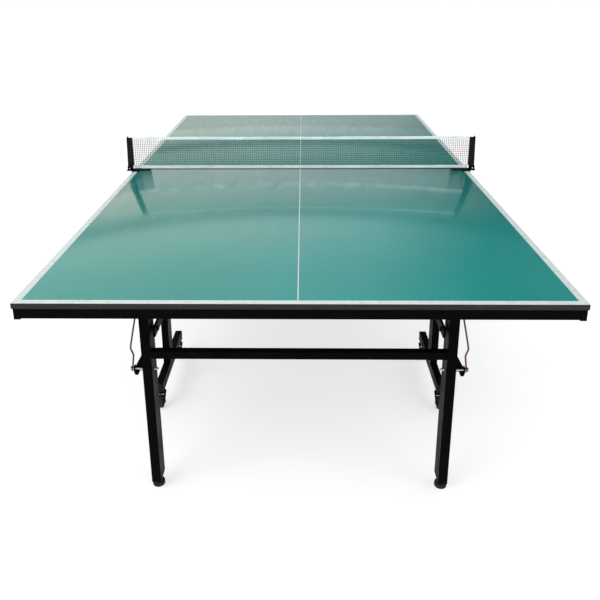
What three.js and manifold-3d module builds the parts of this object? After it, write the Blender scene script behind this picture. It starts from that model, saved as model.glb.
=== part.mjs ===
// A regulation ping pong table in two roll-away halves, in millimetres, +Z up.
// The origin is on the floor under the middle of the net. X runs across the table and
// Y along it. Each half folds upright on its wheeled base, and its outer legs stay
// vertical because a pair of parallel links turns them.
import * as THREE from 'three';
import { mergeVertices } from 'three/addons/utils/BufferGeometryUtils.js';
import Module from 'manifold-3d';

const wasm = await Module();
wasm.setup();

// ---------------------------------------------------------------- playing top
const TABLE_LENGTH = 2740;
const TABLE_WIDTH = 1525;
const TABLE_HEIGHT = 760;
const BOARD_THICKNESS = 16;
const HALVES_GAP = 7;
const BAND_THICKNESS = 1.2;
const BAND_DROP = 0.3;

// ---------------------------------------------------------------- steel frame under it
const FIT_GAP = 0.3;
const WALL = 1.5;
const FRAME_INSET = 4;
const FRAME_WIDTH = 20;
const FRAME_BOTTOM = 713.5;
const LONG_RAIL_X = 500;
const OUTER_CROSS_Y = -1250;
const INNER_CROSS_Y = -300;
const CORNER_BLOCK = 17;
const CORNER_BLOCK_DROP = 2.5;
const CORNER_BLOCK_PROUD = 1;
const VENT_RADIUS = 3;

// ---------------------------------------------------------------- hinge lines
const FOLD_Y = -545;
const LEG_Y = -1157;
const HINGE_Z = 704.5;
const LINK_DROP = 140;
const LINK_Y_OFFSET = 15;
const EAR_RADIUS = 14;
const EAR_THICKNESS = 8;
const SHAFT_RADIUS = 6;
const HEAD_RADIUS = 8.4;
const HEAD_HEIGHT = 4;
const HEAD_GAP = 0.5;
const STUB_PROUD = 3;
const RUNNING_GAP = 0.4;

// ---------------------------------------------------------------- outer legs
const LEG_X = 461;
const LEG_WIDTH = 30;
const LEG_DEPTH = 60;
const LEG_BOTTOM = 30;
const LEG_PLUG = 14;
const CROSSBAR_BOTTOM = 483.5;
const CROSSBAR_HEIGHT = 25;
const CROSSBAR_DEPTH = 25;
const FOOT_RADIUS = 20;
const FOOT_HEIGHT = 15;
const FOOT_NECK_RADIUS = 9;
const FOOT_STEM_RADIUS = 5;
const FOOT_STEM_TOP = 72;

// ---------------------------------------------------------------- links
const LINK_X = 436;
const LINK_THICKNESS = 8;
const LINK_HEIGHT = 30;
const LINK_TAB = 30;
const LINK_PIN_RADIUS = 5;
const LINK_PIN_HEAD_RADIUS = 8;
const LINK_PIN_HEAD = 4;
const LINK_PIN_PROUD = 5;
const NOTCH_RADIUS = 5.6;

// ---------------------------------------------------------------- leg lock
const LOCK_Z = 432;
const LOCK_PIN_RADIUS = 4;
const LOCK_PIN_TIP_X = 433;
const LOCK_PIN_TAIL_X = 520;
const LOCK_COLLAR_RADIUS = 7.2;
const LOCK_COLLAR = 1.7;
const LOCK_CAP = 3.9;
const BRACKET_TOP = 494;
const BRACKET_REACH_X = 509;
const BRACKET_PLATE = 3;
const BRACKET_Y_OFFSET = 8;
const FLANGE_HALF_HEIGHT = 10;
const FLANGE_DEPTH = 16;
const BUFFER_RADIUS = 7;
const BUFFER_INSET = 8;
const BUFFER_DROP = 2;
const LEVER_WIRE_RADIUS = 3;
const LEVER_PIVOT_X = 490;
const LEVER_PIVOT_Z = 684.5;
const LEVER_EYE_RADIUS = 6;
const LEVER_EYE_WIDTH = 6;
const LEVER_KNEES = [[493.5, 611], [515, 506], [508.5, 480]];
const LEVER_RING_X = 513.5;
const LEVER_RING_WIDTH = 4;
const LEVER_RING_RADIUS = 8.6;
const LEVER_RING_HOLE = 6.2;
const LEVER_END_RISE = 7.6;
const HANGER_GAP = 3.4;
const HANGER_PLATE = 3;
const HANGER_PIN_RADIUS = 2;
const HANGER_CHEEK = 5;

// ---------------------------------------------------------------- wheeled base
const BASE_X = 538;
const BASE_WIDTH = 28;
const RAIL_OUTER_Y = -748;
const RAIL_INNER_Y = -335;
const RAIL_BOTTOM = 72;
const RAIL_TOP = 110;
const POST_DEPTH = 60;
const POST_FACE_OFFSET = 8;
const POST_TOP = 716.5;
const CROSS_TUBE = 30;
const CROSS_TUBE_BOTTOM = 499.5;
const LUG_PLATE = 4;
const LUG_GAP = 1;
const LUG_RADIUS = 12;
const LUG_PIN_PROUD = 3;

// ---------------------------------------------------------------- casters
const WHEEL_RADIUS = 25;
const WHEEL_WIDTH = 20;
const CASTER_TRAIL = 14;
const CASTER_INSET = 24;
const AXLE_RADIUS = 4;
const FORK_CHEEK = 3;
const FORK_GAP = 1.5;
const FORK_PLATE_BOTTOM = 58;
const CASTER_STEM_RADIUS = 6;
const CASTER_STEM_TOP = 92;
const SWIVEL_PLATE_RADIUS = 19;
const SWIVEL_PLATE = 4;
const SWIVEL_COLLAR_RADIUS = 11;
const CHEEK_FRONT = 14;
const CHEEK_BACK = 16;
const CHEEK_TIP_RADIUS = 9;
const AXLE_PROUD = 2;
const TREAD_CHAMFER = 4;

// ---------------------------------------------------------------- net
const NET_TOP = TABLE_HEIGHT + 152.5;
const NET_Y = -2;
const NET_THICKNESS = 1.5;
const TAPE_HEIGHT = 12;
const TAPE_THICKNESS = 3;
const NET_BOTTOM = 764;
const NET_HINGE_Y = -8;
const NET_HINGE_Z = 771;
const POST_INNER_X = 764.5;
const POST_WIDTH = 28;
const POST_THICKNESS = 12;
const POST_BODY_BOTTOM = 780;
const POST_CROWN = 2.5;
const POST_SLANT = 7;
const POST_TAPER = 3.5;
const TONGUE_RADIUS = 7;
const TONGUE_INNER_INSET = 7.5;
const TONGUE_OUTER_INSET = 4.5;
const NET_PIN_RADIUS = 3;
const NET_END_GAP = 0.7;
const CLAMP_ARM_X = 685;
const CLAMP_OUTER_Y = -45;
const CLAMP_INNER_Y = -3;
const CLAMP_PLATE = 3;
const CLAMP_SLIM = 12;
const CLAMP_PAD_LENGTH = 37.5;
const CLAMP_PAD_RISE = 2;
const CLAMP_WEB = 4;
const CLAMP_JAW_BOTTOM = 694.5;
const CLAMP_JAW_X = 736;
const CLAMP_SCREW_RADIUS = 4;
const SCREW_PAD_RADIUS = 9;
const SCREW_PAD = 5.5;
const KNOB_RADIUS = 14;
const KNOB_BOTTOM = 668.5;
const KNOB_HEIGHT = 16;
const KNOB_CHAMFER = 2;
const EAR_OF_CLAMP = 8;
const EAR_OF_CLAMP_PLATE = 3.5;
const EAR_OF_CLAMP_INSETS = [3.2, 24.3];

const ROUND = 16;
const SMALL_ROUND = 10;
const CURVE_SEGMENTS = 5;
const WIRE_STEPS = 14;
const OVERCUT = 1;

// ---------------------------------------------------------------- materials
const paint = (color, roughness, metalness) => ({ color, roughness, metalness });
const GREEN_TOP = paint(0x0e7c72, 0.15, 0.0);
const BLACK_BAND = paint(0x1a1718, 0.3, 0.0);
const BLACK_STEEL = paint(0x101110, 0.45, 0.5);
const ZINC = paint(0xb4b6b2, 0.35, 0.9);
const RED_WIRE = paint(0x7a0f22, 0.4, 0.2);
const RUBBER = paint(0x151515, 0.8, 0.0);
const WHITE_TAPE = paint(0xe8ede9, 0.8, 0.0);
const NET_CORD = paint(0x6d7f72, 0.9, 0.0);
const BLACK_PLASTIC = paint(0x131313, 0.5, 0.0);

// ---------------------------------------------------------------- solid helpers
function toSolid(geometry) {
  const bare = geometry.clone();
  bare.deleteAttribute('normal');
  bare.deleteAttribute('uv');
  const merged = mergeVertices(bare, 1e-4);
  return new wasm.Manifold(new wasm.Mesh({
    numProp: 3,
    vertProperties: new Float32Array(merged.attributes.position.array),
    triVerts: new Uint32Array(merged.index.array),
  }));
}

function toGeometry(solid) {
  const mesh = solid.getMesh();
  const geometry = new THREE.BufferGeometry();
  geometry.setAttribute('position', new THREE.BufferAttribute(mesh.vertProperties, 3));
  geometry.setIndex(new THREE.BufferAttribute(mesh.triVerts, 1));
  const flat = geometry.toNonIndexed();
  flat.computeVertexNormals();
  return flat;
}

const join = (solids) => solids.reduce((whole, solid) => whole.add(solid));
const cut = (solid, tools) => tools.reduce((left, tool) => left.subtract(tool), solid);

// A block between two opposite corners.
function block([x0, x1], [y0, y1], [z0, z1]) {
  const geometry = new THREE.BoxGeometry(Math.abs(x1 - x0), y1 - y0, z1 - z0);
  geometry.translate((x0 + x1) / 2, (y0 + y1) / 2, (z0 + z1) / 2);
  return toSolid(geometry);
}

// The range from near to far on the left (side -1) or the right (side 1) of the table.
const span = (side, near, far) => (side > 0 ? [near, far] : [-far, -near]);

// A round bar from x0 to x1 about the line y, z.
function barX(x0, x1, y, z, radius, segments = SMALL_ROUND) {
  const geometry = new THREE.CylinderGeometry(radius, radius, Math.abs(x1 - x0), segments);
  geometry.rotateZ(Math.PI / 2);
  geometry.translate((x0 + x1) / 2, y, z);
  return toSolid(geometry);
}

function barZ(x, y, z0, z1, radius, segments = SMALL_ROUND) {
  const geometry = new THREE.CylinderGeometry(radius, radius, z1 - z0, segments);
  geometry.rotateX(Math.PI / 2);
  geometry.translate(x, y, (z0 + z1) / 2);
  return toSolid(geometry);
}

function barY(x, y0, y1, z, radius, segments = SMALL_ROUND) {
  const geometry = new THREE.CylinderGeometry(radius, radius, y1 - y0, segments);
  geometry.translate(x, (y0 + y1) / 2, z);
  return toSolid(geometry);
}

// An outline drawn in Y and Z, given thickness from x0 to x1.
function plateX(shape, x0, x1) {
  const geometry = new THREE.ExtrudeGeometry(shape, {
    depth: Math.abs(x1 - x0), bevelEnabled: false, curveSegments: CURVE_SEGMENTS,
  });
  const axes = new THREE.Matrix4().makeBasis(
    new THREE.Vector3(0, 1, 0), new THREE.Vector3(0, 0, 1), new THREE.Vector3(1, 0, 0));
  geometry.applyMatrix4(axes);
  geometry.translate(Math.min(x0, x1), 0, 0);
  return toSolid(geometry);
}

// An outline drawn in X and Z, given thickness from y0 to y1.
function plateY(points, y0, y1) {
  const shape = new THREE.Shape(points.map(([x, z]) => new THREE.Vector2(x, z)));
  const geometry = new THREE.ExtrudeGeometry(shape, { depth: y1 - y0, bevelEnabled: false });
  const axes = new THREE.Matrix4().makeBasis(
    new THREE.Vector3(1, 0, 0), new THREE.Vector3(0, 0, 1), new THREE.Vector3(0, -1, 0));
  geometry.applyMatrix4(axes);
  geometry.translate(0, y1, 0);
  return toSolid(geometry);
}

// A turned piece: [radius, height] points about the Z axis, closing on the axis or themselves.
function turned(profile, segments = ROUND) {
  const points = profile.map(([radius, height]) => new THREE.Vector2(radius, height));
  const geometry = new THREE.LatheGeometry(points, segments);
  geometry.rotateX(Math.PI / 2);
  return geometry;
}

// ---------------------------------------------------------------- scene helpers
const table = new THREE.Group();

function addPiece(parent, name, solid, look) {
  const material = new THREE.MeshStandardMaterial(look);
  const mesh = new THREE.Mesh(toGeometry(solid), material);
  mesh.name = name;
  parent.add(mesh);
}

// ---------------------------------------------------------------- playing top pieces
const HALF_X = TABLE_WIDTH / 2;
const OUTER_Y = -TABLE_LENGTH / 2;
const INNER_Y = -HALVES_GAP / 2;
const BOARD_BOTTOM = TABLE_HEIGHT - BOARD_THICKNESS;
const FRAME_TOP = BOARD_BOTTOM - FIT_GAP;
const FRAME_X = HALF_X - FRAME_INSET;
const FRAME_OUTER_Y = OUTER_Y + FRAME_INSET;
const FRAME_INNER_Y = INNER_Y - FRAME_INSET;

function makeBoard() {
  const inset = BAND_THICKNESS + FIT_GAP;
  return block(
    [-HALF_X + inset, HALF_X - inset],
    [OUTER_Y + inset, INNER_Y - inset],
    [BOARD_BOTTOM, TABLE_HEIGHT]);
}

function makeEdgeBand() {
  const height = [BOARD_BOTTOM, TABLE_HEIGHT - BAND_DROP];
  const outside = block([-HALF_X, HALF_X], [OUTER_Y, INNER_Y], height);
  const inside = block(
    [-HALF_X + BAND_THICKNESS, HALF_X - BAND_THICKNESS],
    [OUTER_Y + BAND_THICKNESS, INNER_Y - BAND_THICKNESS],
    [BOARD_BOTTOM - OVERCUT, TABLE_HEIGHT + OVERCUT]);
  return outside.subtract(inside);
}

// The welded tubes seen from above: one outline with five open cells between the tubes.
// A shrink of WALL gives the outline of their hollow insides.
function frameTubes(shrink) {
  const railFace = LONG_RAIL_X + FRAME_WIDTH / 2;
  const railInner = LONG_RAIL_X - FRAME_WIDTH / 2;
  const sideInner = FRAME_X - FRAME_WIDTH;
  const outerEnd = FRAME_OUTER_Y + FRAME_WIDTH;
  const innerEnd = FRAME_INNER_Y - FRAME_WIDTH;
  const half = FRAME_WIDTH / 2;
  const cells = [
    [[railFace, sideInner], [outerEnd, innerEnd]],
    [[-sideInner, -railFace], [outerEnd, innerEnd]],
    [[-railInner, railInner], [outerEnd, OUTER_CROSS_Y - half]],
    [[-railInner, railInner], [OUTER_CROSS_Y + half, INNER_CROSS_Y - half]],
    [[-railInner, railInner], [INNER_CROSS_Y + half, innerEnd]],
  ];
  const slab = block(
    [-FRAME_X + shrink, FRAME_X - shrink],
    [FRAME_OUTER_Y + shrink, FRAME_INNER_Y - shrink],
    [FRAME_BOTTOM + shrink, FRAME_TOP - shrink]);
  return cut(slab, cells.map(([[x0, x1], [y0, y1]]) => block(
    [x0 - shrink, x1 + shrink], [y0 - shrink, y1 + shrink],
    [FRAME_BOTTOM - OVERCUT, FRAME_TOP + OVERCUT])));
}

// A round-ended cheek that hangs from a long rail and carries a hinge pin.
function hingeEar(side, y) {
  const top = FRAME_BOTTOM + WALL / 2;
  const shape = new THREE.Shape();
  shape.moveTo(y - EAR_RADIUS, top);
  shape.lineTo(y - EAR_RADIUS, HINGE_Z);
  shape.absarc(y, HINGE_Z, EAR_RADIUS, Math.PI, Math.PI * 2, false);
  shape.lineTo(y + EAR_RADIUS, top);
  const middle = side * LONG_RAIL_X;
  return plateX(shape, middle - EAR_THICKNESS / 2, middle + EAR_THICKNESS / 2);
}

function makeTopFrame() {
  let frame = frameTubes(0).subtract(frameTubes(WALL));
  for (const side of [-1, 1]) {
    const edge = FRAME_X + CORNER_BLOCK_PROUD;
    const end = FRAME_OUTER_Y - CORNER_BLOCK_PROUD;
    const corner = block(
      span(side, edge - CORNER_BLOCK, edge),
      [end, end + CORNER_BLOCK],
      [FRAME_BOTTOM - CORNER_BLOCK_DROP, FRAME_TOP - CORNER_BLOCK_PROUD]);
    frame = frame.add(corner);
    for (const y of [FOLD_Y, LEG_Y]) {
      frame = frame.add(hingeEar(side, y));
      frame = frame.subtract(barX(
        side * (LONG_RAIL_X - FRAME_WIDTH), side * (LONG_RAIL_X + FRAME_WIDTH),
        y, HINGE_Z, SHAFT_RADIUS + RUNNING_GAP, ROUND));
    }
  }
  const vent = barZ(0, OUTER_CROSS_Y, FRAME_BOTTOM - OVERCUT, FRAME_BOTTOM + 2 * WALL, VENT_RADIUS);
  return frame.subtract(vent);
}

function makeLegShaft() {
  const end = LONG_RAIL_X + EAR_THICKNESS / 2 + FIT_GAP;
  const heads = [-1, 1].map(
    (side) => barX(side * end, side * (end + HEAD_HEIGHT), LEG_Y, HINGE_Z, HEAD_RADIUS));
  const reach = end + HEAD_HEIGHT / 2;
  return join([barX(-reach, reach, LEG_Y, HINGE_Z, SHAFT_RADIUS, ROUND), ...heads]);
}

// ---------------------------------------------------------------- outer leg pieces
const LEG_OUTER_X = LEG_X + LEG_WIDTH / 2;
const LEG_INNER_X = LEG_X - LEG_WIDTH / 2;
const LINK_Z = HINGE_Z - LINK_DROP;
const LINK_LEG_Y = LEG_Y + LINK_Y_OFFSET;
const FOLDED_PIN_RUN = FOLD_Y - LEG_Y - (LINK_Z - LOCK_Z);
const LINK_BASE_Y = FOLD_Y + LINK_Y_OFFSET;

// The side view of a leg: straight sides and a round head about the hinge line.
function legOutline(shrink, bottom) {
  const half = LEG_DEPTH / 2 - shrink;
  const shape = new THREE.Shape();
  shape.moveTo(LEG_Y - half, bottom);
  shape.lineTo(LEG_Y + half, bottom);
  shape.lineTo(LEG_Y + half, HINGE_Z);
  shape.absarc(LEG_Y, HINGE_Z, half, 0, Math.PI, false);
  shape.lineTo(LEG_Y - half, bottom);
  return shape;
}

function lockBracket(side) {
  const leg = LEG_OUTER_X - WALL / 2;
  const low = LOCK_Z - FLANGE_HALF_HEIGHT;
  const back = LEG_Y + BRACKET_Y_OFFSET;
  const outline = [
    [leg, low], [BRACKET_REACH_X, low], [BRACKET_REACH_X, LOCK_Z], [leg, BRACKET_TOP],
  ].map(([x, z]) => [side * x, z]);
  const gusset = plateY(side > 0 ? outline : outline.reverse(), back - BRACKET_PLATE, back);
  const flange = block(
    span(side, BRACKET_REACH_X - BRACKET_PLATE, BRACKET_REACH_X),
    [back - FLANGE_DEPTH, back],
    [low, LOCK_Z + FLANGE_HALF_HEIGHT]);
  const buffer = barY(
    side * (BRACKET_REACH_X - BUFFER_INSET), back - FLANGE_DEPTH, back,
    low - BUFFER_DROP, BUFFER_RADIUS);
  return join([gusset, flange, buffer]);
}

// Two cheeks and a cross pin that the release wire's eye hangs on.
function wireHanger(side) {
  const cheek = (y0, y1) => block(
    span(side, LEG_OUTER_X - WALL / 2, LEVER_PIVOT_X + HANGER_CHEEK), [y0, y1],
    [LEVER_PIVOT_Z - HANGER_CHEEK, LEVER_PIVOT_Z + HANGER_CHEEK]);
  return join([
    cheek(LEG_Y - HANGER_GAP - HANGER_PLATE, LEG_Y - HANGER_GAP),
    cheek(LEG_Y + HANGER_GAP, LEG_Y + HANGER_GAP + HANGER_PLATE),
    barY(
      side * LEVER_PIVOT_X, LEG_Y - HANGER_GAP - OVERCUT, LEG_Y + HANGER_GAP + OVERCUT,
      LEVER_PIVOT_Z, HANGER_PIN_RADIUS),
  ]);
}

function makeLeg(side) {
  const outer = plateX(legOutline(0, LEG_BOTTOM), side * LEG_INNER_X, side * LEG_OUTER_X);
  const hollow = plateX(
    legOutline(WALL, LEG_BOTTOM + LEG_PLUG),
    side * (LEG_INNER_X + WALL), side * (LEG_OUTER_X - WALL));
  const headOut = LINK_X - LINK_PIN_PROUD;
  const headIn = headOut - LINK_PIN_HEAD;
  const linkPin = join([
    barX(side * (LEG_INNER_X + WALL / 2), side * headIn, LINK_LEG_Y, LINK_Z, LINK_PIN_RADIUS),
    barX(side * headOut, side * headIn, LINK_LEG_Y, LINK_Z, LINK_PIN_HEAD_RADIUS),
  ]);
  const body = join([outer.subtract(hollow), lockBracket(side), wireHanger(side), linkPin]);
  return cut(body, [
    barX(side * (LEG_X - LEG_WIDTH), side * (LEG_X + LEG_WIDTH), LEG_Y, HINGE_Z,
      SHAFT_RADIUS + RUNNING_GAP, ROUND),
    barX(side * (LEG_INNER_X - OVERCUT), side * (BRACKET_REACH_X + OVERCUT), LEG_Y, LOCK_Z,
      LOCK_PIN_RADIUS + RUNNING_GAP),
    barZ(side * LEG_X, LEG_Y, LEG_BOTTOM - OVERCUT, LEG_BOTTOM + LEG_PLUG + OVERCUT,
      FOOT_STEM_RADIUS + RUNNING_GAP),
  ]);
}

function makeLegCrossbar() {
  const end = LEG_INNER_X - FIT_GAP;
  const front = LEG_Y - LEG_DEPTH / 2;
  const top = CROSSBAR_BOTTOM + CROSSBAR_HEIGHT;
  const outside = block(
    [-end, end], [front, front + CROSSBAR_DEPTH], [CROSSBAR_BOTTOM, top]);
  const inside = block(
    [-end - OVERCUT, end + OVERCUT],
    [front + WALL, front + CROSSBAR_DEPTH - WALL],
    [CROSSBAR_BOTTOM + WALL, top - WALL]);
  return outside.subtract(inside);
}

function makeFoot(side) {
  const geometry = turned([
    [0, 0], [FOOT_RADIUS - 2, 0], [FOOT_RADIUS, 2], [FOOT_RADIUS, FOOT_HEIGHT - 5],
    [FOOT_RADIUS - 4, FOOT_HEIGHT], [FOOT_NECK_RADIUS, FOOT_HEIGHT + 2],
    [FOOT_NECK_RADIUS, LEG_BOTTOM - FIT_GAP], [FOOT_STEM_RADIUS, LEG_BOTTOM - FIT_GAP],
    [FOOT_STEM_RADIUS, FOOT_STEM_TOP], [0, FOOT_STEM_TOP],
  ]);
  geometry.translate(side * LEG_X, LEG_Y, 0);
  return toSolid(geometry);
}

// A flat bar between the two link pins, parallel to the line of the two hinges above it.
// When the half is folded, the lock pin's tip lies in the notch in its lower edge.
function makeLink(side) {
  const half = LINK_HEIGHT / 2;
  const shape = new THREE.Shape();
  shape.moveTo(LINK_LEG_Y - LINK_TAB, LINK_Z - half);
  shape.lineTo(LINK_BASE_Y, LINK_Z - half);
  shape.absarc(LINK_BASE_Y, LINK_Z, half, -Math.PI / 2, Math.PI / 2, false);
  shape.lineTo(LINK_LEG_Y - LINK_TAB, LINK_Z + half);
  const near = side * (LINK_X - LINK_THICKNESS / 2);
  const far = side * (LINK_X + LINK_THICKNESS / 2);
  const through = (y, z, radius) => barX(
    side * (LINK_X - LINK_THICKNESS), side * (LINK_X + LINK_THICKNESS), y, z, radius);
  const bores = [LINK_LEG_Y, LINK_BASE_Y].map(
    (y) => through(y, LINK_Z, LINK_PIN_RADIUS + RUNNING_GAP));
  const notch = through(LINK_BASE_Y - FOLDED_PIN_RUN, LINK_Z - LINK_Y_OFFSET, NOTCH_RADIUS);
  return cut(plateX(shape, near, far), [...bores, notch]);
}

// ---------------------------------------------------------------- release wires and lock pins
function makeLever(side) {
  const knees = [
    [LEVER_PIVOT_X, LEVER_PIVOT_Z], ...LEVER_KNEES, [LEVER_RING_X, LOCK_Z + LEVER_END_RISE],
  ].map(([x, z]) => new THREE.Vector3(side * x, LEG_Y, z));
  const path = new THREE.CatmullRomCurve3(knees, false, 'catmullrom', 0.1);
  const section = new THREE.Shape();
  section.absarc(0, 0, LEVER_WIRE_RADIUS, 0, Math.PI * 2, false);
  const geometry = new THREE.ExtrudeGeometry(section, {
    steps: WIRE_STEPS, extrudePath: path, bevelEnabled: false, curveSegments: 3,
  });
  const alongY = (width, radius) => barY(
    side * LEVER_PIVOT_X, LEG_Y - width / 2, LEG_Y + width / 2, LEVER_PIVOT_Z, radius);
  const alongX = (width, radius) => barX(
    side * (LEVER_RING_X - width / 2), side * (LEVER_RING_X + width / 2), LEG_Y, LOCK_Z, radius);
  const eye = alongY(LEVER_EYE_WIDTH, LEVER_EYE_RADIUS);
  const ring = alongX(LEVER_RING_WIDTH, LEVER_RING_RADIUS);
  const eyeHole = alongY(2 * LEVER_EYE_WIDTH, HANGER_PIN_RADIUS + RUNNING_GAP);
  const ringHole = alongX(4 * LEVER_RING_WIDTH, LEVER_RING_HOLE);
  return cut(join([toSolid(geometry), eye, ring]), [eyeHole, ringHole]);
}

// A rod with two collars that the wire's ring pulls on from either side.
function makeLockPin(side) {
  const ringIn = LEVER_RING_X - LEVER_RING_WIDTH / 2;
  const collarOut = ringIn - 2 * FIT_GAP;
  const collarIn = collarOut - LOCK_COLLAR;
  const capIn = LOCK_PIN_TAIL_X - LOCK_CAP;
  const bar = (x0, x1, radius) => barX(side * x0, side * x1, LEG_Y, LOCK_Z, radius);
  return join([
    bar(LOCK_PIN_TIP_X, LOCK_PIN_TAIL_X, LOCK_PIN_RADIUS),
    bar(collarIn, collarOut, LOCK_COLLAR_RADIUS),
    bar(capIn, LOCK_PIN_TAIL_X, LOCK_COLLAR_RADIUS),
  ]);
}

// ---------------------------------------------------------------- wheeled base pieces
const POST_FACE_Y = FOLD_Y + POST_FACE_OFFSET;
const POST_OUTER_Y = POST_FACE_Y - POST_DEPTH;
const CASTER_STATIONS = { outer: RAIL_OUTER_Y + CASTER_INSET, inner: RAIL_INNER_Y - CASTER_INSET };

// The side view of a bottom rail with its upright; shrink = WALL gives the hollow inside.
function baseTubes(side, shrink) {
  const shape = new THREE.Shape();
  shape.moveTo(RAIL_OUTER_Y + shrink, RAIL_BOTTOM + shrink);
  shape.lineTo(RAIL_INNER_Y - shrink, RAIL_BOTTOM + shrink);
  shape.lineTo(RAIL_INNER_Y - shrink, RAIL_TOP - shrink);
  shape.lineTo(POST_FACE_Y - shrink, RAIL_TOP - shrink);
  shape.lineTo(POST_FACE_Y - shrink, POST_TOP - shrink);
  shape.lineTo(POST_OUTER_Y + shrink, POST_TOP - shrink);
  shape.lineTo(POST_OUTER_Y + shrink, RAIL_TOP - shrink);
  shape.lineTo(RAIL_OUTER_Y + shrink, RAIL_TOP - shrink);
  const half = BASE_WIDTH / 2 - shrink;
  return plateX(shape, side * BASE_X - half, side * BASE_X + half);
}

// A bottom rail with its upright, and the stub that the top frame's ear turns on.
function makeBaseSide(side) {
  const inside = side * (LONG_RAIL_X - EAR_THICKNESS / 2);
  const stub = join([
    barX(inside - side * HEAD_HEIGHT / 2, side * (BASE_X + BASE_WIDTH / 2 + STUB_PROUD), FOLD_Y,
      HINGE_Z, SHAFT_RADIUS, ROUND),
    barX(inside - side * (HEAD_HEIGHT + HEAD_GAP), inside - side * HEAD_GAP, FOLD_Y, HINGE_Z,
      HEAD_RADIUS),
  ]);
  const stemHoles = Object.values(CASTER_STATIONS).map((y) => barZ(
    side * BASE_X, y, RAIL_BOTTOM - OVERCUT, RAIL_BOTTOM + 2 * WALL,
    CASTER_STEM_RADIUS + RUNNING_GAP));
  const shell = baseTubes(side, 0).subtract(baseTubes(side, WALL));
  return cut(shell.add(stub), stemHoles);
}

// The tube between the two uprights, with a pair of lugs and a pin for each link.
function makeBaseCrossTube() {
  const end = BASE_X - BASE_WIDTH / 2 - FIT_GAP;
  const face = POST_OUTER_Y + CROSS_TUBE;
  const top = CROSS_TUBE_BOTTOM + CROSS_TUBE;
  const outside = block([-end, end], [POST_OUTER_Y, face], [CROSS_TUBE_BOTTOM, top]);
  const inside = block(
    [-end - OVERCUT, end + OVERCUT],
    [POST_OUTER_Y + WALL, face - WALL],
    [CROSS_TUBE_BOTTOM + WALL, top - WALL]);
  const lug = new THREE.Shape();
  lug.moveTo(face - WALL / 2, CROSS_TUBE_BOTTOM);
  lug.lineTo(LINK_BASE_Y + 0.8 * LUG_RADIUS, LINK_Z - LUG_RADIUS / 2);
  lug.absarc(LINK_BASE_Y, LINK_Z, LUG_RADIUS, -0.5, Math.PI * 0.75, false);
  lug.lineTo(face - WALL / 2, top);
  const parts = [outside.subtract(inside)];
  for (const side of [-1, 1]) {
    const cheekIn = LINK_X - LINK_THICKNESS / 2 - LUG_GAP;
    const cheekOut = LINK_X + LINK_THICKNESS / 2 + LUG_GAP;
    const reach = LUG_PLATE + LUG_PIN_PROUD;
    parts.push(plateX(lug, side * (cheekIn - LUG_PLATE), side * cheekIn));
    parts.push(plateX(lug, side * cheekOut, side * (cheekOut + LUG_PLATE)));
    parts.push(barX(
      side * (cheekIn - reach), side * (cheekOut + reach), LINK_BASE_Y, LINK_Z,
      LINK_PIN_RADIUS));
  }
  return join(parts);
}

function makeCasterFork(side, y) {
  const x = side * BASE_X;
  const axleY = y - CASTER_TRAIL;
  const cheekIn = WHEEL_WIDTH / 2 + FORK_GAP;
  const cheekOut = cheekIn + FORK_CHEEK;
  const plateMiddle = FORK_PLATE_BOTTOM + SWIVEL_PLATE / 2;
  const outline = new THREE.Shape();
  outline.moveTo(y + CHEEK_FRONT, plateMiddle);
  outline.lineTo(y - CHEEK_BACK, plateMiddle);
  outline.lineTo(axleY - CHEEK_TIP_RADIUS, WHEEL_RADIUS);
  outline.absarc(axleY, WHEEL_RADIUS, CHEEK_TIP_RADIUS, Math.PI, Math.PI * 2, false);
  outline.lineTo(y + CHEEK_FRONT, plateMiddle);
  return join([
    barZ(x, y, FORK_PLATE_BOTTOM, FORK_PLATE_BOTTOM + SWIVEL_PLATE, SWIVEL_PLATE_RADIUS, ROUND),
    barZ(x, y, plateMiddle + 1, RAIL_BOTTOM - 1, SWIVEL_COLLAR_RADIUS),
    barZ(x, y, plateMiddle + 1, CASTER_STEM_TOP, CASTER_STEM_RADIUS),
    plateX(outline, x - cheekOut, x - cheekIn),
    plateX(outline, x + cheekIn, x + cheekOut),
    barX(x - cheekOut - AXLE_PROUD, x + cheekOut + AXLE_PROUD, axleY, WHEEL_RADIUS,
      AXLE_RADIUS),
  ]);
}

function makeWheel(side, y) {
  const half = WHEEL_WIDTH / 2;
  const bore = AXLE_RADIUS + RUNNING_GAP;
  const geometry = turned([
    [bore, -half], [WHEEL_RADIUS - TREAD_CHAMFER, -half], [WHEEL_RADIUS, -half + TREAD_CHAMFER],
    [WHEEL_RADIUS, half - TREAD_CHAMFER], [WHEEL_RADIUS - TREAD_CHAMFER, half], [bore, half],
    [bore, -half],
  ]);
  geometry.rotateY(Math.PI / 2);
  geometry.translate(side * BASE_X, y - CASTER_TRAIL, WHEEL_RADIUS);
  return toSolid(geometry);
}

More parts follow.
